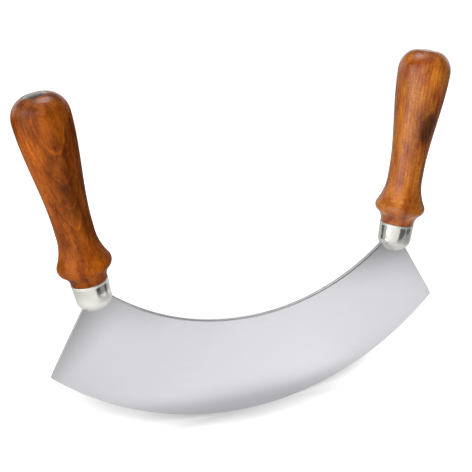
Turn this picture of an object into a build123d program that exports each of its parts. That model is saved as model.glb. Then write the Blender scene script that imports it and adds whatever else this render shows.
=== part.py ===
from build123d import *
import os
from math import cos, radians, sin, sqrt

# Two-handled mezzaluna. X runs along the blade, Y through its thickness and Z up.
# The origin is the lowest point of the curved cutting edge. Lengths are in millimetres.

# Blade
tip_distance = 230.0
tip_height = 46.0
blade_height = 56.5
spine_radius = 126.0
end_lean = 30.3
blade_thickness = 2.0
grind_height = 10.0
edge_thickness = 0.3
tip_rounding = 1.3
spine_rounding = 0.3

# Each handle stands over the corner where a straight end and the spine of the blade would meet.
# These are the corner's depth below the ferrule's rim, its distance inboard of the axis, and the outward lean.
corner_depth = 3.1
corner_inset = 1.9
handle_lean = 10.25

# Ferrule
rim_radius = 9.7
rim_rounding = 0.5
ferrule_length = 16.5
ferrule_taper = 0.4
dome_height = 7.2
ferrule_wall = 1.0
slot_clearance = 0.2

# Handle, with its heights counted from the ferrule's rim
seat_step = 0.3
bead_radius = 14.0
bead_height = 9.3
bead_rounding = 4.0
neck_radius = 9.7
neck_sweep = 30.0
neck_length = 5.0
grip_radius = 14.2
handle_length = 97.2
crown_height = 11.4
crown_width = 9.6
tenon_length = 5.0
tenon_clearance = 0.15

# Tang, a rod with a slotted foot
rod_radius = 2.5
rod_clearance = 0.2
foot_radius = 4.0
foot_gap = 0.3
foot_web = 1.5
foot_clearance = 1.4
weld_clearance = 0.05
head_radius = 3.6
head_rise = 0.25
head_clearance = 0.05

# Washer in the top of the handle
washer_radius = 6.0
washer_clearance = 0.15
washer_edge = 0.9
washer_rise = 0.7
washer_seat = 1.2
countersink_start = 0.4

# Sizes that follow from the ones above
half_thickness = blade_thickness / 2
half_tips = tip_distance / 2
edge_radius = (half_tips**2 + tip_height**2) / (2 * tip_height)
dome_radius = rim_radius - ferrule_taper
dome_start = ferrule_length - dome_height
cup_radius = rim_radius - ferrule_wall
bowl_radius = dome_radius - ferrule_wall
bowl_height = dome_height - ferrule_wall
seat_radius = rim_radius - seat_step
grip_height = handle_length - crown_height
tenon_radius = cup_radius - ferrule_taper * tenon_length / dome_start - tenon_clearance
foot_top = -tenon_length - foot_gap
foot_bottom = foot_clearance - dome_start - bowl_height * sqrt(1 - (foot_radius / bowl_radius) ** 2)
blade_top = foot_top - foot_web
washer_floor = handle_length - washer_seat

os.makedirs("parts", exist_ok=True)


def blade_corner():
    """Where the right straight end, produced upwards, meets the circle of the spine."""
    lean = radians(end_lean)
    start = Vector(half_tips, tip_height)
    along = Vector(-sin(lean), cos(lean))
    from_centre = start - Vector(0, blade_height + spine_radius)
    reach = from_centre.dot(along)
    return start + along * (-reach - sqrt(reach**2 - from_centre.dot(from_centre) + spine_radius**2))


def handle_direction(side):
    """Unit vector up along one handle's axis."""
    lean = radians(handle_lean)
    return Vector(side * sin(lean), 0, cos(lean))


def outboard_direction(side):
    """Unit vector square to one handle's axis, away from the middle of the blade."""
    lean = radians(handle_lean)
    return Vector(side * cos(lean), 0, -sin(lean))


def joint_point(side):
    """The point on one handle's axis at the rim of its ferrule."""
    corner = Vector(side * blade_corner().X, 0, blade_corner().Y)
    return corner + handle_direction(side) * corner_depth + outboard_direction(side) * corner_inset


def handle_axis(side):
    return Axis(joint_point(side), handle_direction(side))


def profile_plane(side, height=0):
    """Plane for turned profiles: x is the radius, y the height over a point of the axis."""
    base = joint_point(side) + handle_direction(side) * height
    return Plane(base, x_dir=outboard_direction(side), z_dir=(0, -side, 0))


def cross_plane(side, height):
    """Plane square to one handle's axis at a height above the ferrule's rim."""
    direction = handle_direction(side)
    return Plane(joint_point(side) + direction * height, x_dir=(0, 1, 0), z_dir=direction)


def washer_top(radius):
    """Height of the washer's domed face above its seat, at a radius."""
    sphere = (washer_radius**2 + washer_rise**2) / (2 * washer_rise)
    return washer_edge + washer_rise - sphere + sqrt(sphere**2 - radius**2)


# Outline of the blade: curved edge, straight ends, and a spine cropped square to each handle
with BuildSketch(Plane.XZ) as crescent:
    corner = blade_corner()
    with BuildLine():
        ThreePointArc((-half_tips, tip_height), (0, 0), (half_tips, tip_height))
        Line((half_tips, tip_height), corner)
        ThreePointArc(corner, (0, blade_height), (-corner.X, corner.Y))
        Line((-corner.X, corner.Y), (-half_tips, tip_height))
    make_face()
    fillet(crescent.vertices().group_by(Axis.X)[0] + crescent.vertices().group_by(Axis.X)[-1], tip_rounding)
    for side in (-1, 1):
        crop = cross_plane(side, blade_top).origin
        with Locations((crop.X, crop.Z)):
            Rectangle(
                2 * cup_radius,
                2 * cup_radius,
                rotation=-side * handle_lean,
                align=(Align.CENTER, Align.MIN),
                mode=Mode.SUBTRACT,
            )

with BuildPart() as blade:
    extrude(crescent.sketch, amount=blade_thickness, both=True)
    # The ground section is turned about the middle of the cutting edge's circle
    with BuildSketch(Plane.YZ):
        with BuildLine():
            for face in (-1, 1):
                shoulder = (face * half_thickness, grind_height)
                Line((0, 0), (face * edge_thickness / 2, 0))
                TangentArc(shoulder, (face * edge_thickness / 2, 0), tangent=(0, -1))
                Polyline(shoulder, (face * half_thickness, edge_radius), (0, edge_radius))
        make_face()
    revolve(axis=Axis((0, 0, edge_radius), (0, 1, 0)), mode=Mode.INTERSECT)
    spine = blade.edges().filter_by(GeomType.CIRCLE).filter_by(lambda e: abs(e.radius - spine_radius) < half_thickness)
    fillet(spine, spine_rounding)
blade.part.label = "blade"
export_step(blade.part, "parts/blade.step")

# The same outline, grown by the clearance of the slots that straddle it
with BuildSketch(Plane.XZ) as ferrule_slot:
    add(crescent.sketch_local)
    offset(amount=slot_clearance, kind=Kind.INTERSECTION)
with BuildSketch(Plane.XZ) as foot_slot:
    add(crescent.sketch_local)
    offset(amount=weld_clearance, kind=Kind.INTERSECTION)

for side, hand in ((-1, "left"), (1, "right")):
    # Ferrule: a tapered cup with a domed end, slotted for the blade
    with BuildPart() as ferrule:
        with BuildSketch(profile_plane(side)):
            with BuildLine():
                outer = EllipticalCenterArc((0, -dome_start), dome_radius, dome_height, 270, arc_size=90)
                inner = EllipticalCenterArc((0, -dome_start), bowl_radius, bowl_height, 270, arc_size=90)
                Polyline(outer @ 1, (rim_radius, 0), (cup_radius, 0), inner @ 1)
                Line(inner @ 0, outer @ 0)
            make_face()
        revolve(axis=handle_axis(side))
        extrude(ferrule_slot.sketch, amount=half_thickness + slot_clearance, both=True, mode=Mode.SUBTRACT)
        rim = ferrule.edges().group_by(handle_axis(side))[-1].sort_by(SortBy.RADIUS)[-1]
        fillet(rim, rim_rounding)
    ferrule.part.label = f"{hand}_ferrule"
    export_step(ferrule.part, f"parts/{hand}_ferrule.step")

    # Handle: turned bead, neck and grip over a tenon, bored for the tang and recessed for the washer
    with BuildPart() as handle:
        with BuildSketch(profile_plane(side)):
            bead_centre = Vector(bead_radius - bead_rounding, bead_height)
            inset = bead_centre.X - seat_radius
            foot_sweep = (inset**2 + bead_height**2 - bead_rounding**2) / (2 * (bead_rounding + inset))
            foot_centre = Vector(seat_radius + foot_sweep, 0)
            neck_reach = neck_radius + neck_sweep - bead_centre.X
            neck_drop = sqrt((neck_sweep + bead_rounding) ** 2 - neck_reach**2)
            neck_centre = bead_centre + Vector(neck_reach, neck_drop)
            with BuildLine():
                tenon = Polyline(
                    (0, -tenon_length),
                    (tenon_radius, -tenon_length),
                    (tenon_radius, 0),
                    (seat_radius, 0),
                )
                into_bead = bead_centre + (foot_centre - bead_centre).normalized() * bead_rounding
                out_of_bead = bead_centre + (neck_centre - bead_centre).normalized() * bead_rounding
                lower = TangentArc(tenon @ 1, into_bead, tangent=(0, 1))
                bead = TangentArc(lower @ 1, out_of_bead, tangent=lower % 1)
                upper = TangentArc(bead @ 1, (neck_radius, neck_centre.Y), tangent=bead % 1)
                neck = Line(upper @ 1, (neck_radius, neck_centre.Y + neck_length))
                grip = Spline(neck @ 1, (grip_radius, grip_height), tangents=((0, 1), (0, 1)))
                crown = EllipticalCenterArc(
                    (grip_radius - crown_width, grip_height), crown_width, handle_length - grip_height, arc_size=90
                )
                Polyline(crown @ 1, (0, handle_length), (0, -tenon_length))
            make_face()
        revolve(axis=handle_axis(side))
        with Locations(cross_plane(side, handle_length)):
            CounterBoreHole(rod_radius + rod_clearance, washer_radius + washer_clearance, washer_seat)
    handle.part.label = f"{hand}_handle"
    export_step(handle.part, f"parts/{hand}_handle.step")

    # Washer: a low dome, countersunk for the head of the tang
    with BuildPart() as washer:
        with BuildSketch(profile_plane(side, washer_floor)):
            with BuildLine():
                hole = rod_radius + head_clearance
                sink = head_radius + head_clearance
                middle = (washer_radius + sink) / 2
                edge = Polyline((hole, countersink_start), (hole, 0), (washer_radius, 0), (washer_radius, washer_edge))
                dome = ThreePointArc(edge @ 1, (middle, washer_top(middle)), (sink, washer_top(sink)))
                Line(dome @ 1, edge @ 0)
            make_face()
        revolve(axis=handle_axis(side))
    washer.part.label = f"{hand}_rivet_washer"
    export_step(washer.part, f"parts/{hand}_rivet_washer.step")

    # Tang: a slotted foot that straddles the corner of the blade, a rod, and a head peened into the washer
    with BuildPart() as tang:
        with BuildSketch(profile_plane(side)):
            with BuildLine():
                head_height = washer_floor + washer_top(head_radius)
                rod = Polyline(
                    (0, foot_bottom),
                    (foot_radius, foot_bottom),
                    (foot_radius, foot_top),
                    (rod_radius, foot_top),
                    (rod_radius, washer_floor + countersink_start),
                    (head_radius, head_height),
                )
                TangentArc((0, head_height + head_rise), rod @ 1, tangent=(1, 0))
                Line((0, head_height + head_rise), rod @ 0)
            make_face()
        revolve(axis=handle_axis(side))
        extrude(foot_slot.sketch, amount=half_thickness + weld_clearance, both=True, mode=Mode.SUBTRACT)
    tang.part.label = f"{hand}_tang"
    export_step(tang.part, f"parts/{hand}_tang.step")
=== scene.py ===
"""Looks of a two-handled mezzaluna: satin blade, polished ferrules and varnished beech handles."""

import bpy
import numpy as np
from mathutils import Matrix, Vector


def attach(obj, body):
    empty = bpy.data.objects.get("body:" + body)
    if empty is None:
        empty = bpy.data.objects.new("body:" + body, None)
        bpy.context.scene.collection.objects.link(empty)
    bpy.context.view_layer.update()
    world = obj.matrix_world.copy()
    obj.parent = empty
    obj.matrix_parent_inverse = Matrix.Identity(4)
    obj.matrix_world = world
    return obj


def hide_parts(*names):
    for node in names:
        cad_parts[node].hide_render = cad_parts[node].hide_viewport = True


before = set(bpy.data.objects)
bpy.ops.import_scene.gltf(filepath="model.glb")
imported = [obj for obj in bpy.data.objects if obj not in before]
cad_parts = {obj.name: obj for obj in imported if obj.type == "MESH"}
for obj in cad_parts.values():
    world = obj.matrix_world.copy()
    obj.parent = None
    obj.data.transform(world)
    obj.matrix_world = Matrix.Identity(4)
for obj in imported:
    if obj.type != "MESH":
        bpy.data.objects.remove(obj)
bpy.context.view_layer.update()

MM = 0.001

# Blade, in millimetres, as in the part's source
HALF_TIPS = 115.0
TIP_HEIGHT = 46.0
BLADE_HEIGHT = 56.5
SPINE_RADIUS = 126.0
END_LEAN = np.radians(30.3)
HALF_THICKNESS = 1.0
GRIND_HEIGHT = 10.0
EDGE_HALF = 0.15
TIP_ROUNDING = 1.3
SPINE_ROUNDING = 0.3
EDGE_RADIUS = (HALF_TIPS**2 + TIP_HEIGHT**2) / (2 * TIP_HEIGHT)
BLADE_TOP = -6.8

# Handles, in millimetres, as in the part's source
HANDLE_LEAN = np.radians(10.25)
CORNER_DEPTH = 3.1
CORNER_INSET = 1.9
SEAT_RADIUS = 9.4
BEAD_RADIUS = 14.0
BEAD_HEIGHT = 9.3
BEAD_ROUNDING = 4.0
NECK_RADIUS = 9.7
NECK_SWEEP = 30.0
NECK_LENGTH = 5.0
GRIP_RADIUS = 14.2
HANDLE_LENGTH = 97.2
CROWN_HEIGHT = 11.4
CROWN_WIDTH = 9.6
TENON_LENGTH = 5.0
TENON_RADIUS = 8.33
BORE_RADIUS = 2.7
RECESS_RADIUS = 6.15
RECESS_DEPTH = 1.2

# Edges that turn by more than this, in degrees, stay crisp
SHARP = 40


# Shapes


def corner():
    """The point where the blade's straight right end, produced upwards, meets the circle of the spine."""
    start = np.array([HALF_TIPS, TIP_HEIGHT])
    along = np.array([-np.sin(END_LEAN), np.cos(END_LEAN)])
    offset = start - [0, BLADE_HEIGHT + SPINE_RADIUS]
    reach = offset @ along
    return start + along * (-reach - np.sqrt(reach**2 - offset @ offset + SPINE_RADIUS**2))


def handle_frame(side):
    """Joint point, outboard direction and upward direction of one handle, in millimetres and unit vectors."""
    up = np.array([side * np.sin(HANDLE_LEAN), 0, np.cos(HANDLE_LEAN)])
    out = np.array([side * np.cos(HANDLE_LEAN), 0, -np.sin(HANDLE_LEAN)])
    start = np.array([side * corner()[0], 0, corner()[1]])
    return start + up * CORNER_DEPTH + out * CORNER_INSET, out, up


def arc(centre, radius, first, last, count):
    """Points of a circle from one angle to another, in degrees."""
    turn = np.radians(np.linspace(first, last, count))
    return np.stack([centre[0] + radius * np.cos(turn), centre[1] + radius * np.sin(turn)], 1)


def build(name, points, faces, materials, kinds=None):
    """A mesh object from points in millimetres. kinds gives the material's number for each face."""
    mesh = bpy.data.meshes.new(name)
    mesh.from_pydata((points * MM).tolist(), [], faces.tolist())
    for made in materials:
        mesh.materials.append(made)
    if kinds is not None:
        mesh.polygons.foreach_set("material_index", kinds.astype(np.int32))
    mesh.shade_smooth()
    mesh.set_sharp_from_angle(angle=np.radians(SHARP))
    made = bpy.data.objects.new(name, mesh)
    bpy.context.scene.collection.objects.link(made)
    return made


def turned(name, side, outline, segments, materials):
    """A turned piece: each point of a closed outline goes round the axis at its radius and height."""
    start, out, up = handle_frame(side)
    turn = np.linspace(0, 2 * np.pi, segments, endpoint=False)
    deep = np.array([0.0, 1.0, 0.0])
    ring = np.cos(turn)[:, None] * out + np.sin(turn)[:, None] * deep
    points = start + outline[:, None, 1:] * up + outline[:, None, :1] * ring[None]
    rows, columns = np.meshgrid(np.arange(len(outline)), np.arange(segments), indexing="ij")
    ahead, across = (rows + 1) % len(outline), (columns + 1) % segments
    grid = ((rows, columns), (rows, across), (ahead, across), (ahead, columns))
    faces = np.stack([row * segments + column for row, column in grid], -1).reshape(-1, 4)
    if side < 0:
        faces = faces[:, ::-1]
    return build(name, points.reshape(-1, 3), faces, materials)


def handle_outline():
    """Closed outline of a handle as radius and height: tenon, cove, bead, neck, grip, crown, recess and bore.

    The grip's radius goes from the neck's to its own by 3t^2 - 2t^3 of its height, and the crown is a quarter
    of an ellipse.
    """
    bead = np.array([BEAD_RADIUS - BEAD_ROUNDING, BEAD_HEIGHT])
    inset = bead[0] - SEAT_RADIUS
    cove = (inset**2 + BEAD_HEIGHT**2 - BEAD_ROUNDING**2) / (2 * (BEAD_ROUNDING + inset))
    cove_centre = np.array([SEAT_RADIUS + cove, 0])
    reach = NECK_RADIUS + NECK_SWEEP - bead[0]
    neck_centre = bead + [reach, np.sqrt((NECK_SWEEP + BEAD_ROUNDING) ** 2 - reach**2)]
    into = np.degrees(np.arctan2(*(bead - cove_centre)[::-1]))
    out_of = np.degrees(np.arctan2(*(neck_centre - bead)[::-1]))
    grip_start = neck_centre[1] + NECK_LENGTH
    grip_end = HANDLE_LENGTH - CROWN_HEIGHT
    share = np.linspace(0, 1, 90)
    swell = NECK_RADIUS + (GRIP_RADIUS - NECK_RADIUS) * share**2 * (3 - 2 * share)
    grip = np.stack([swell, grip_start + (grip_end - grip_start) * share], 1)
    crown_start = GRIP_RADIUS - CROWN_WIDTH
    edge = np.arcsin((RECESS_RADIUS - crown_start) / CROWN_WIDTH)
    fall = np.linspace(np.pi / 2, edge, 40)[1:]
    crown = np.stack([crown_start + CROWN_WIDTH * np.sin(fall), grip_end + CROWN_HEIGHT * np.cos(fall)], 1)
    floor = HANDLE_LENGTH - RECESS_DEPTH
    return np.concatenate(
        [
            [[BORE_RADIUS, -TENON_LENGTH], [TENON_RADIUS, -TENON_LENGTH], [TENON_RADIUS, 0]],
            arc(cove_centre, cove, 180, into, 24),
            arc(bead, BEAD_ROUNDING, into - 180, out_of, 36)[1:],
            arc(neck_centre, NECK_SWEEP, out_of + 180, 180, 30)[1:],
            grip,
            crown,
            [[RECESS_RADIUS, floor], [BORE_RADIUS, floor]],
        ]
    )


def blade_shape(name, materials):
    """The blade: straight columns from the cutting edge's circle to the spine, spread evenly along both.

    Half the thickness is the sheet's, less the sagitta of the grind's arc below its shoulder. The rows run up
    the front, over the rounded spine and down the back.
    """
    end = np.arcsin(HALF_TIPS / EDGE_RADIUS)
    joint, out, up = (vector[[0, 2]] for vector in handle_frame(1))
    tip = np.array([HALF_TIPS, TIP_HEIGHT])
    along = np.array([-np.sin(END_LEAN), np.cos(END_LEAN)])
    crop = joint + up * BLADE_TOP
    outer = tip + along * ((crop - tip) @ up) / (along @ up)
    centre = np.array([0, BLADE_HEIGHT + SPINE_RADIUS])
    offset = crop - centre
    inner = crop + out * (np.sqrt((offset @ out) ** 2 - offset @ offset + SPINE_RADIUS**2) - offset @ out)
    spine = np.arcsin(inner[0] / SPINE_RADIUS)

    # Columns are even over the blade, with closer ones for the rounding of the tips
    even = np.linspace(0, 1, 161)
    close = 1 - np.geomspace(1e-4, 0.012, 14)
    share = np.unique(np.concatenate([even, close]))
    share = np.concatenate([-share[:0:-1], share])
    low = np.stack([EDGE_RADIUS * np.sin(share * end), EDGE_RADIUS * (1 - np.cos(share * end))], 1)
    crop_run = np.linalg.norm(outer - inner)
    total = SPINE_RADIUS * spine + crop_run
    run = np.abs(share) * total
    past = np.clip((run - SPINE_RADIUS * spine) / crop_run, 0, 1)[:, None]
    angle = np.minimum(run / SPINE_RADIUS, spine)
    on_spine = np.stack([SPINE_RADIUS * np.sin(angle), centre[1] - SPINE_RADIUS * np.cos(angle)], 1)
    high = np.where(past > 0, inner + past * (outer - inner), on_spine)
    high[:, 0] *= np.sign(share)

    # Rows crowd towards the cutting edge, and the ground ones reach a little past the shoulder
    crowding, past_shoulder = 1.3, 1.5
    height = np.linalg.norm(high - low, axis=1)[:, None]
    ground = np.linspace(0, 1, 22) ** crowding * (GRIND_HEIGHT + past_shoulder)
    rest = np.linspace(0, 1, 40)[1:]
    lower = np.broadcast_to(ground, (len(share), len(ground)))
    upper = ground[-1] + rest * (height - SPINE_ROUNDING - ground[-1])
    front = np.concatenate([lower, upper], 1)
    turn = np.radians([22.5, 45, 67.5, 90])
    over = height - SPINE_ROUNDING * (1 - np.sin(turn))
    up_rows = np.concatenate([front, over], 1) / height
    plane = low[:, None] + up_rows[..., None] * (high - low)[:, None]

    # The tips are rounded: what lies outside the rounding's circle at each tip is drawn in to it
    tangent = np.array([np.cos(end), np.sin(end)])
    inward = np.array([-np.sin(end), np.cos(end)])
    left_of_end = np.array([-np.cos(END_LEAN), -np.sin(END_LEAN)])
    round_centre = tip + np.linalg.solve(np.stack([inward, left_of_end]), [TIP_ROUNDING] * 2)
    folded = plane.copy()
    folded[..., 0] = np.abs(folded[..., 0])
    away = folded - round_centre
    far = np.linalg.norm(away, axis=-1)
    beyond = (away @ tangent > 0) & (away @ along < 0) & (far > TIP_ROUNDING)
    drawn_in = round_centre + away * (TIP_ROUNDING / np.maximum(far, 1e-9))[..., None]
    folded = np.where(beyond[..., None], drawn_in, folded)
    plane = np.stack([folded[..., 0] * np.where(share < 0, -1, 1)[:, None], folded[..., 1]], -1)

    depth = EDGE_RADIUS - np.hypot(plane[..., 0], plane[..., 1] - EDGE_RADIUS)
    drop = HALF_THICKNESS - EDGE_HALF
    sweep = (GRIND_HEIGHT**2 + drop**2) / (2 * drop)
    below = np.clip(GRIND_HEIGHT - depth, 0, GRIND_HEIGHT)
    half = HALF_THICKNESS - (sweep - np.sqrt(sweep**2 - below**2))
    half[:, front.shape[1] :] -= SPINE_ROUNDING * (1 - np.cos(turn))
    one = np.stack([plane[..., 0], -half, plane[..., 1]], -1)
    other = np.stack([plane[..., 0], half, plane[..., 1]], -1)[:, ::-1]
    points = np.concatenate([one, other], 1)
    columns, rows = points.shape[:2]

    # The skin's faces, and caps at both ends. The spine, the cutting edge and the ends are of the cut steel
    column, row = np.meshgrid(np.arange(columns - 1), np.arange(rows), indexing="ij")
    ahead = (row + 1) % rows
    grid = ((column, row), (column + 1, row), (column + 1, ahead), (column, ahead))
    skin = np.stack([at * rows + height_row for at, height_row in grid], -1).reshape(-1, 4)
    on_top = (row >= front.shape[1] - 1) & (row < rows - front.shape[1])
    on_edge = row == rows - 1
    step = np.arange(rows // 2 - 1)
    cap = np.stack([step, step + 1, rows - 2 - step, rows - 1 - step], -1)
    last = (columns - 1) * rows
    faces = np.concatenate([skin, cap, cap[:, ::-1] + last])
    kinds = np.concatenate([(on_top | on_edge).reshape(-1), np.ones(2 * len(cap), bool)])
    return build(name, points.reshape(-1, 3), faces, materials, kinds)


# Shader nodes


def rgb(code):
    """Linear colour of an sRGB hex code."""
    part = np.array([int(code[i : i + 2], 16) for i in (1, 3, 5)]) / 255
    return (*np.where(part <= 0.04045, part / 12.92, ((part + 0.055) / 1.055) ** 2.4), 1.0)


def add(tree, kind, links=None, stops=None, **settings):
    """Adds one shader node.

    links gives its sockets a value or another node's output, and stops fills its ramp with places and greys.
    """
    made = tree.nodes.new("ShaderNode" + kind)
    for name, value in settings.items():
        setattr(made, name, value)
    for socket, value in (links or {}).items():
        if isinstance(value, bpy.types.NodeSocket):
            tree.links.new(value, made.inputs[socket])
        else:
            made.inputs[socket].default_value = value
    if stops:
        ramp = made.color_ramp.elements
        while len(ramp) < len(stops):
            ramp.new(1)
        for element, (place, grey) in zip(ramp, stops):
            element.position = place
            element.color = (grey, grey, grey, 1)
    return made


def maths(tree, operation, *values):
    """Result of a math node on values or outputs."""
    return add(tree, "Math", dict(enumerate(values)), operation=operation).outputs[0]


def remap(tree, value, span, low=0.0, high=1.0, smooth=False):
    """Value taken from a span to the range from low to high, and held at its ends."""
    links = {0: value, 1: span[0], 2: span[1], 3: low, 4: high}
    kind = "SMOOTHSTEP" if smooth else "LINEAR"
    return add(tree, "MapRange", links, interpolation_type=kind).outputs[0]


def noise(tree, place, scale, detail=3.0, roughness=0.5):
    """Value of a noise. scale gives how many grains come per unit of place, alike or for each axis."""
    if isinstance(scale, tuple):
        place = add(tree, "Mapping", {"Vector": place, "Scale": scale}).outputs[0]
        scale = 1.0
    links = {"Vector": place, "Scale": scale, "Detail": detail, "Roughness": roughness}
    return add(tree, "TexNoise", links).outputs[0]


def colour_between(tree, share, low, high):
    """Colour between two sRGB hex codes."""
    return add(tree, "MixRGB", {0: share, 1: rgb(low), 2: rgb(high)}).outputs[0]


def mix(tree, share, low, high):
    """Number between two numbers or outputs."""
    return add(tree, "Mix", {0: share, 2: low, 3: high}).outputs[0]


def shaded(tree, colour, factor):
    """Colour times a number."""
    return add(tree, "VectorMath", {0: colour, "Scale": factor}, operation="SCALE").outputs[0]


def distance_in(tree, place, middle, reach):
    """Distance from the middle of an ellipsoid that has the half lengths of reach. 1 is on its surface."""
    links = {"Vector": place, "Location": middle, "Scale": reach}
    spread = add(tree, "Mapping", links, vector_type="TEXTURE").outputs[0]
    return add(tree, "VectorMath", {0: spread}, operation="LENGTH").outputs["Value"]


def bumped(tree, height, strength, distance, **normal):
    """Normal that a height bends."""
    links = {"Strength": strength, "Distance": distance, "Height": height, **normal}
    return add(tree, "Bump", links).outputs[0]


def material(name):
    """An empty material with its node tree and the place that its patterns read."""
    made = bpy.data.materials.new(name)
    made.use_nodes = True
    made.node_tree.nodes.clear()
    tree = made.node_tree
    return made, tree, add(tree, "TexCoord").outputs["Object"]


def metal(tree, colour, roughness, **normal):
    """Ends a material as a metal."""
    links = {"Base Color": colour, "Metallic": 1.0, "Roughness": roughness, **normal}
    add(tree, "OutputMaterial", {0: add(tree, "BsdfPrincipled", links).outputs[0]})


# Materials

# Noise has nearly all of its values in this span
NOISE_SPAN = (0.3, 0.7)

# Spans in metres over which painted shade darkens the sheet's tone: from its left tip to past the middle,
# and near the corner under the left handle, where height less the distance to the right is largest
TIP_SPAN = (-0.12, 0.03)
CORNER_SPAN = (0.143, 0.184)
TIP_PAINTED_SHADE = 0.74
CORNER_PAINTED_SHADE = 0.42


def satin_stainless():
    """Belt-satined martensitic stainless sheet: a metal that shows soft, wide reflections and fine lines.

    Painted shade makes the sheet less bright towards its left tip, and darker at the corner under the left
    handle.
    """
    made, tree, place = material("satin_stainless_sheet")

    # Lines 0.7 mm apart, drawn coarser than a belt's so that they show, and clouds of 36 mm
    grain = noise(tree, place, (60.0, 1.0, 1400.0), roughness=0.6)
    cloud = noise(tree, place, 28.0)
    x, _, z = add(tree, "SeparateXYZ", {0: place}).outputs
    # Painted shade: darker towards the left tip, and darker still at the corner under the left handle
    painted_side_shading = remap(tree, x, TIP_SPAN, TIP_PAINTED_SHADE, 1.0)
    painted_shade = remap(tree, maths(tree, "SUBTRACT", z, x), CORNER_SPAN, 1.0, CORNER_PAINTED_SHADE, smooth=True)
    tone = colour_between(tree, grain, "#dfdee2", "#e7e6eb")
    tone = shaded(tree, tone, maths(tree, "MULTIPLY", painted_side_shading, painted_shade))
    soft = remap(tree, cloud, NOISE_SPAN, 0.17, 0.22)
    metal(tree, tone, soft, Normal=bumped(tree, grain, strength=0.08, distance=0.0001))
    return made


def blanked_edge():
    """Blanked edge of the sheet: pale like its faces, with no grain, and a softer gleam."""
    made, tree, place = material("blanked_stainless_edge")
    cloud = noise(tree, place, 900.0)
    metal(tree, colour_between(tree, cloud, "#dad9dc", "#eeedf0"), 0.4)
    return made


# Sizes on the ferrules, in metres: heights between which the nickel clears from haze to polish, how far from
# its axis the haze's border has that height, half the cup's width, and the lip's height with its soft border
HAZE = (0.0855, 0.0905)
HAZE_OFFSET = -0.002
CUP_HALF = 0.008
LIP = 0.0013
LIP_BORDER = 0.0004

# Roughness of the hazy dome, the polish and the lip, how far clouds change it, and tones of dome and lip,
# which are painted light on the dome and a painted highlight on the lip
HAZY, POLISHED, SATIN = 0.5, 0.08, 0.4
CLOUDED = (0.9, 1.2)
HAZY_TONE, LIP_TONE = 1.2, 1.18

# Part of its half lengths over which the painted dark reflection, a dark spot, fades
SPOT_FADE = (0.4, 1.0)


def polished_nickel(name, axis, painted_shade, bright, slant=0.0, spot=None):
    """Polished nickel plate on the spun ferrules: nearly mirror bright at the collar, hazy on the dome.

    A satin lip runs along the rim, and its raised tone is a painted highlight. From the left of the cup to
    its right, the plate goes from painted shade to painted light, with its axis in the middle, and the haze's
    border climbs by slant. The hazy dome's raised tone is painted light too. spot gives the middle, the half
    lengths and the tone of a painted dark reflection, a dark spot.
    """
    made, tree, place = material(name)
    cloud = noise(tree, place, 110.0)
    x, _, z = add(tree, "SeparateXYZ", {0: place}).outputs
    height = maths(tree, "MULTIPLY_ADD", x, -slant, z)
    height = maths(tree, "ADD", height, slant * (axis + HAZE_OFFSET))
    haze = remap(tree, height, HAZE, HAZY, POLISHED, smooth=True)
    soft = maths(tree, "MULTIPLY", remap(tree, cloud, NOISE_SPAN, *CLOUDED), haze)

    # Height along the handle's axis, the same for both sides
    joint, _, up = handle_frame(1)
    folded = add(tree, "VectorMath", {0: place}, operation="ABSOLUTE").outputs[0]
    along = add(tree, "VectorMath", {0: folded, 1: Vector(up)}, operation="DOT_PRODUCT").outputs["Value"]
    lip_start = MM * (joint @ up) - LIP
    lip = remap(tree, along, (lip_start - LIP_BORDER, lip_start))

    # Painted shade and light: darker left of the axis, brighter right of it, and brighter on the hazy dome
    painted_side_shading = remap(tree, x, (axis - CUP_HALF, axis + CUP_HALF), painted_shade, bright)
    factor = maths(tree, "MULTIPLY", remap(tree, height, HAZE, HAZY_TONE, 1.0), painted_side_shading)
    # A painted dark reflection: a dark spot in the plate
    if spot:
        middle, reach, tone = spot
        dark = remap(tree, distance_in(tree, place, middle, reach), SPOT_FADE, tone, 1.0, smooth=True)
        factor = maths(tree, "MULTIPLY", factor, dark)
    # The lip's raised tone is a painted highlight
    factor = mix(tree, lip, factor, maths(tree, "MULTIPLY", painted_side_shading, LIP_TONE))
    tone = shaded(tree, colour_between(tree, cloud, "#c4c3bc", "#d6d5cf"), factor)
    metal(tree, tone, mix(tree, lip, soft, SATIN), Normal=bumped(tree, cloud, strength=0.25, distance=0.0005))
    return made


def polished_steel(name, low, high, roughness):
    """Turned and polished steel of the washers and plainer steel of the tangs, both faintly clouded."""
    made, tree, place = material(name)
    cloud = noise(tree, place, 500.0)
    tone = colour_between(tree, cloud, low, high)
    metal(tree, tone, roughness, Normal=bumped(tree, cloud, strength=0.15, distance=0.0002))
    return made


# Heights over the ferrule's rim, in millimetres: where the rings come in over the bead, and where the crown
# gets its full gloss
RINGS_SPAN = (16.0, 26.0)
CROWN_GLOSS = (89.0, 96.0)

# One growth ring from its early wood to its late wood, as places and tones
RING_TONES = [(0.0, 0.4), (0.4, 0.38), (0.72, 0.1), (0.84, 0.2), (0.9, 1.0), (0.94, 0.8), (1.0, 0.4)]
PLAIN_TONE = 0.4

# How far in millimetres the way the tree grew bends its rings, and the mean of that bend
BEND = 3.0
BEND_MEAN = BEND / 2

# Part of the cloud noise over which the wood drifts from dark to light, and how a darker or lighter patch
# gets a ragged border from that noise and fades over its half lengths
DRIFT_SPAN = (0.36, 0.64)
RAGGEDNESS = 1.2
PATCH_FADE = (1.0, 1.9)


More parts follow.
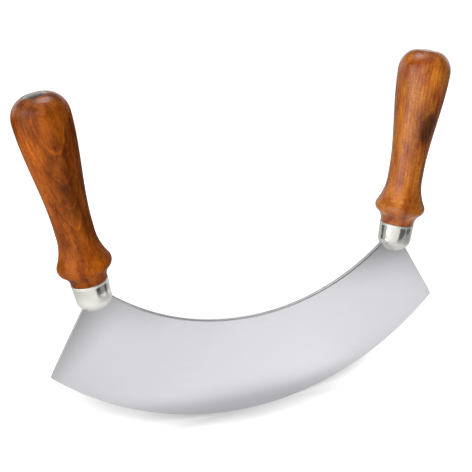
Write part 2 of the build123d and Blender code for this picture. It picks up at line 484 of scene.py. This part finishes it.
def varnished_beech(name, side, pith, lean, rings, dark, light, patches, flecks, gloss):
    """Stained and varnished beech: growth rings round a pith beside the handle, flecks and a clear gloss.

    pith is where the middle of the tree lies from the handle's axis, and lean how fast it draws away upwards.
    rings gives the distance at which rings are counted, how many come per millimetre there, and how fast they
    widen. The wood drifts between a dark and a light colour. patches gives the middle, the half lengths and
    the tone of each darker or lighter patch, where the lighter ones are painted light and painted highlights,
    flecks how many flecks come per millimetre across and along, and gloss how much of the clear coat is left
    below the crown.
    """
    made, tree, place = material(name)
    joint, out, up = handle_frame(side)
    turn = Matrix(((side * out[0], 0, side * out[2]), (0, 1, 0), (up[0], 0, up[2])))
    from_joint = {"Rotation": turn.to_euler(), "Location": -(turn @ Vector(joint)), "Scale": (1 / MM,) * 3}
    local = add(tree, "Mapping", {"Vector": place, **from_joint}).outputs[0]

    # Distance from the pith in millimetres, bent a little by the way the tree grew
    height = add(tree, "SeparateXYZ", {0: local}).outputs[2]
    flat = add(tree, "VectorMath", {0: local, 1: (1, 1, 0)}, operation="MULTIPLY").outputs[0]
    apart = add(tree, "VectorMath", {0: flat, 1: (*pith, 0)}, operation="DISTANCE").outputs["Value"]
    leaned = maths(tree, "MULTIPLY_ADD", height, lean, apart)
    bend = noise(tree, local, (0.06, 0.06, 0.03), roughness=0.4)
    bent = maths(tree, "MULTIPLY_ADD", bend, BEND, leaned)
    past = maths(tree, "SUBTRACT", bent, rings[0] + BEND_MEAN)
    rate = maths(tree, "MULTIPLY_ADD", past, -rings[2], rings[1])
    phase = maths(tree, "FRACT", maths(tree, "MULTIPLY", past, rate))
    line = add(tree, "ValToRGB", {0: phase}, stops=RING_TONES).outputs[0]
    line = mix(tree, remap(tree, height, RINGS_SPAN, smooth=True), PLAIN_TONE, line)

    # Fibres 0.7 mm apart and short flecks, both drawn coarser than beech's so that they show
    fibre = noise(tree, local, (1.4, 1.4, 0.05))
    fleck = noise(tree, local, (flecks[0], flecks[0], flecks[1]), detail=2.0)
    cloud = noise(tree, local, (0.16, 0.16, 0.05), detail=4.0, roughness=0.6)
    body = colour_between(tree, remap(tree, cloud, DRIFT_SPAN), dark, light)
    shade = 1.0
    # Darker and lighter patches; the lighter ones are painted light and painted highlights
    for middle, reach, tone in patches:
        ragged = maths(tree, "MULTIPLY_ADD", cloud, RAGGEDNESS, distance_in(tree, local, middle, reach))
        shade = maths(tree, "MULTIPLY", shade, remap(tree, ragged, PATCH_FADE, tone, 1.0, smooth=True))
    for pattern, span, darkest, palest in (
        (line, (0.0, 1.0), 0.72, 1.42),
        (fibre, NOISE_SPAN, 0.86, 1.14),
        (fleck, NOISE_SPAN, 0.82, 1.18),
    ):
        shade = maths(tree, "MULTIPLY", shade, remap(tree, pattern, span, darkest, palest))

    # The flecks and the fibres stand out in the varnish too
    bump = bumped(tree, fleck, strength=0.8, distance=0.00015)
    bump = bumped(tree, fibre, strength=0.3, distance=0.0001, Normal=bump)
    links = {
        "Base Color": shaded(tree, body, shade),
        "Roughness": 0.5,
        "IOR": 1.5,
        "Specular IOR Level": 0.0,
        "Normal": bump,
        "Coat Weight": remap(tree, height, CROWN_GLOSS, gloss, 1.0, smooth=True),
        "Coat Roughness": 0.24,
        "Coat Normal": bump,
    }
    add(tree, "OutputMaterial", {0: add(tree, "BsdfPrincipled", links).outputs[0]})
    return made


# Distance of the ferrules' axes from the middle of the blade, in metres, where the polish turns to haze
AXIS = 0.0904

# Middle, half lengths and tone of a painted dark reflection, a dark spot on the left ferrule
PAINTED_DARK_REFLECTION = (-0.0858, -0.0086, 0.0928), (0.0053, 0.01, 0.0037), 0.38

left_wood = varnished_beech(
    "varnished_beech_flat_sawn",
    side=-1,
    pith=(0.5, -40.0),
    lean=-0.135,
    rings=(25.5, -0.486, 0.0172),
    dark="#652c06",
    light="#a05211",
    # A darker patch on the front of the grip, a painted highlight on the front of the bead, and painted light
    # up the outer side
    patches=(
        ((2.0, -12.5, 48.0), (6.0, 8.0, 24.0), 0.75),
        ((-1.0, -13.0, 9.0), (11.0, 8.0, 10.0), 1.4),
        ((-12.0, -7.0, 74.0), (6.0, 8.0, 18.0), 1.3),
    ),
    flecks=(0.8, 0.6),
    gloss=0.2,
)
right_wood = varnished_beech(
    "varnished_beech_rift_sawn",
    side=1,
    pith=(-38.0, 30.0),
    lean=0.02,
    rings=(50.0, 0.6, 0.0),
    dark="#8d3e09",
    light="#c8751f",
    # A dark patch on the front of the grip, and painted highlights on the front of the crown and low on the
    # inner side
    patches=(
        ((0.9, -12.0, 57.0), (6.4, 8.0, 11.5), 0.3),
        ((-5.0, -12.0, 86.0), (8.0, 8.0, 9.0), 1.2),
        ((-7.0, -7.0, 24.0), (6.0, 8.0, 14.0), 1.2),
    ),
    flecks=(0.45, 1.2),
    gloss=1.0,
)
# Both ferrules are one nickel: their side-to-side tones, the dark spot, the brighter dome and the lip are
# painted light and shade
left_nickel = polished_nickel("polished_nickel_painted_light_and_dark_spot", -AXIS, painted_shade=0.82, bright=1.26, spot=PAINTED_DARK_REFLECTION)
right_nickel = polished_nickel("polished_nickel_painted_light", AXIS, painted_shade=0.9, bright=1.3, slant=0.6)
# The washers are one steel: the left one's darker tone is painted shade, the right one's paler tone painted
# light
left_washer = polished_steel("washer_steel_painted_shade", "#8b8379", "#a79f95", 0.25)
right_washer = polished_steel("washer_steel_painted_light", "#b4afa7", "#ccc8c1", 0.25)
tang_steel = polished_steel("peened_rod_steel", "#857c71", "#9d958a", 0.3)

# Pieces
blade = blade_shape("blade_sheet", [satin_stainless(), blanked_edge()])
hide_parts("blade")
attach(blade, "root")
for side, hand, wood, nickel, washer in (
    (-1, "left", left_wood, left_nickel, left_washer),
    (1, "right", right_wood, right_nickel, right_washer),
):
    handle = turned(f"{hand}_turned_handle", side, handle_outline(), segments=240, materials=[wood])
    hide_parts(f"{hand}_handle")
    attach(handle, "root")
    for node, finish in (("ferrule", nickel), ("rivet_washer", washer), ("tang", tang_steel)):
        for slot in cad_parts[f"{hand}_{node}"].material_slots:
            slot.material = finish

# Floor, light and camera, in metres, with strengths where 1 is white. The floor is lifted to white but for
# the patch where the blade stands and the one behind it, and adds a sheen to what the blade shows of it.
LIFT = 0.2
REAR_LIFT = 0.6
DARK = 0.16
CEILING = 0.6
AMBIENT = 0.1
SHEEN = 0.34

# Middle and half lengths of the patches of floor where the blade touches it, where its shadow shows, and
# under the blade's gleam. Each fades over a part of its half lengths, and the shadow also towards the rear.
TOUCH, TOUCH_FADE = ((-0.054, -0.014, 0), (0.128, 0.052, 1)), (0.37, 0.71)
SHADOW, SHADOW_FADE = ((0.002, 0.06, 0), (0.078, 0.062, 1)), (0.95, 1.55)
GLEAM, GLEAM_FADE = ((-0.01, 0, 0), (0.12, 0.035, 1)), (0.2, 1.1)
REAR_FADE = (0.04, 0.14)

# Borders of the white sheet, each from paper to bench: its front edge and the slanting end of that edge,
# its slanting right edge with the rows where that starts, its far left corner, and its outer right end
FRONT_EDGE, FRONT_END, FRONT_SLANT = (-0.148, -0.187), (-0.175, -0.125), 0.67
RIGHT_EDGE, RIGHT_START, RIGHT_SLANT = (0.152, 0.172), (0.02, -0.04), 0.4
CORNER_ROWS, CORNER_SIDE = (0.28, 0.32), (-0.2, -0.25)
OUTER_END = (0.32, 0.4)


def mirrored(tree, paths):
    """1 for what metal, varnish or glass shows."""
    return maths(tree, "MAXIMUM", paths["Is Glossy Ray"], paths["Is Transmission Ray"])


def bench_share(tree, x, y):
    """1 on the dark bench past the white sheet's borders, and 0 on the sheet."""
    end = remap(tree, maths(tree, "MULTIPLY_ADD", y, FRONT_SLANT, x), FRONT_END, smooth=True)
    front = maths(tree, "MULTIPLY", end, remap(tree, y, FRONT_EDGE, smooth=True))
    right = remap(tree, maths(tree, "MULTIPLY_ADD", y, RIGHT_SLANT, x), RIGHT_EDGE)
    right = remap(tree, y, RIGHT_START, 0.0, right)
    corner_part = remap(tree, x, CORNER_SIDE, 0.0, remap(tree, y, CORNER_ROWS))
    outer = remap(tree, x, OUTER_END)
    share = maths(tree, "MAXIMUM", front, right)
    for other in (corner_part, outer):
        share = maths(tree, "MAXIMUM", share, other)
    return share


def white_paper():
    """Matt white paper, lifted to white where it is seen, and less so at the blade and in its shadow.

    What shines shows the same sheet with a dark bench round it.
    """
    made, tree, place = material("white_paper")
    paths = add(tree, "LightPath").outputs
    shown = mirrored(tree, paths)

    # Fibres 3 mm apart, coarser than paper's
    fibre = noise(tree, place, 300.0, detail=2.0)
    matt = add(tree, "BsdfDiffuse", {"Color": colour_between(tree, fibre, "#ececec", "#f2f2f2")})

    # How far the camera sees it lifted, and the sheen that shining pieces see
    x, y, _ = add(tree, "SeparateXYZ", {0: place}).outputs
    # Less lift round the blade's foot and behind it: the lamps' shadow shows there, and the patches' outline
    # is painted shadow
    contact = remap(tree, distance_in(tree, place, *TOUCH), TOUCH_FADE, 0.0, LIFT)
    rear = remap(tree, y, REAR_FADE, contact, REAR_LIFT)
    lift = remap(tree, distance_in(tree, place, *SHADOW), SHADOW_FADE, rear, 1.0, smooth=True)
    seen = maths(tree, "MULTIPLY", lift, paths["Is Camera Ray"])
    # No sheen under the blade, so that its lower edge shows a painted dark reflection
    sheen = remap(tree, distance_in(tree, place, *GLEAM), GLEAM_FADE, 0.0, SHEEN, smooth=True)
    light = add(tree, "Emission", {"Strength": maths(tree, "MULTIPLY_ADD", shown, sheen, seen)})
    paper = add(tree, "AddShader", {0: matt.outputs[0], 1: light.outputs[0]})
    bench = add(tree, "Emission", {"Strength": DARK})
    hidden = maths(tree, "MULTIPLY", bench_share(tree, x, y), shown)
    both = add(tree, "MixShader", {0: hidden, 1: paper.outputs[0], 2: bench.outputs[0]})
    add(tree, "OutputMaterial", {0: both.outputs[0]})
    return made


FLOOR_HALF = 4
corners = [(x * FLOOR_HALF, y * FLOOR_HALF, 0) for x, y in ((-1, -1), (1, -1), (1, 1), (-1, 1))]
sheet = bpy.data.meshes.new("floor")
sheet.from_pydata(corners, [], [(0, 1, 2, 3)])
sheet.materials.append(white_paper())
made = bpy.data.objects.new("floor", sheet)
bpy.context.scene.collection.objects.link(made)

# The camera sees white. What shines shows a white backdrop behind the object up to 25 degrees, a pale
# ceiling from 45 degrees, and a dark studio between them and in front. The spans are parts of a unit
# direction.
BACKDROP_TOP = (0.44, 0.36)
BACKDROP_FRONT = (-0.1, 0.3)
CEILING_START = (0.7, 0.85)
world = bpy.data.worlds.new("studio")
bpy.context.scene.world = world
world.use_nodes = True
world.node_tree.nodes.clear()
tree = world.node_tree
paths = add(tree, "LightPath").outputs
_, deep, tall = add(tree, "SeparateXYZ", {0: add(tree, "TexCoord").outputs["Generated"]}).outputs
backdrop = maths(tree, "MULTIPLY", remap(tree, tall, BACKDROP_TOP), remap(tree, deep, BACKDROP_FRONT))
studio = remap(tree, backdrop, (0.0, 1.0), remap(tree, tall, CEILING_START, DARK, CEILING), 1.0)
plain = remap(tree, paths["Is Camera Ray"], (0.0, 1.0), AMBIENT, 1.0)
level = mix(tree, mirrored(tree, paths), plain, studio)
sky = add(tree, "Background", {"Color": rgb("#ffffff"), "Strength": level})
add(tree, "OutputWorld", {0: sky.outputs[0]})


def softbox(name, place, target, size, power, shows=True):
    """A rectangular area lamp at a place, turned to a target."""
    lamp = bpy.data.lights.new(name, "AREA")
    lamp.shape = "RECTANGLE"
    lamp.size, lamp.size_y = size
    lamp.energy = power
    made = bpy.data.objects.new(name, lamp)
    made.location = place
    made.rotation_euler = (Vector(target) - Vector(place)).to_track_quat("-Z", "Y").to_euler()
    made.visible_camera = False
    made.visible_glossy = shows
    bpy.context.scene.collection.objects.link(made)


softbox("key", (-0.5, -0.1, 0.255), target=(0, 0, 0.255), size=(0.386, 0.5), power=1.4)
softbox("front", (-0.33, -0.42, 0.305), target=(0, 0, 0.305), size=(0.386, 0.6), power=1.0)
softbox("high", (-0.18, -0.65, 0.6), target=(0, 0, 0.05), size=(0.3, 0.3), power=2.6, shows=False)
softbox("overhead", (0.0, 0.15, 0.9), target=(0, 0, 0.05), size=(0.45, 0.45), power=2.1)

# The camera's lens, place and directions were fitted to the outline of the object in the photo
camera = bpy.data.cameras.new("camera")
camera.sensor_width = 36.0
camera.lens = 72.997
eye = bpy.data.objects.new("camera", camera)
bpy.context.scene.collection.objects.link(eye)
across = Vector((0.91514142, -0.4015759, -0.03539745))
above = Vector((0.16618824, 0.29580468, 0.94068117))
towards = Vector((0.36728416, 0.86673894, -0.3374403))
stand = Vector((-0.19541886, -0.43858897, 0.27484222))
eye.matrix_world = Matrix.Translation(stand) @ Matrix((across, above, -towards)).transposed().to_4x4()
bpy.context.scene.camera = eye
bpy.context.scene.view_settings.view_transform = "Standard"
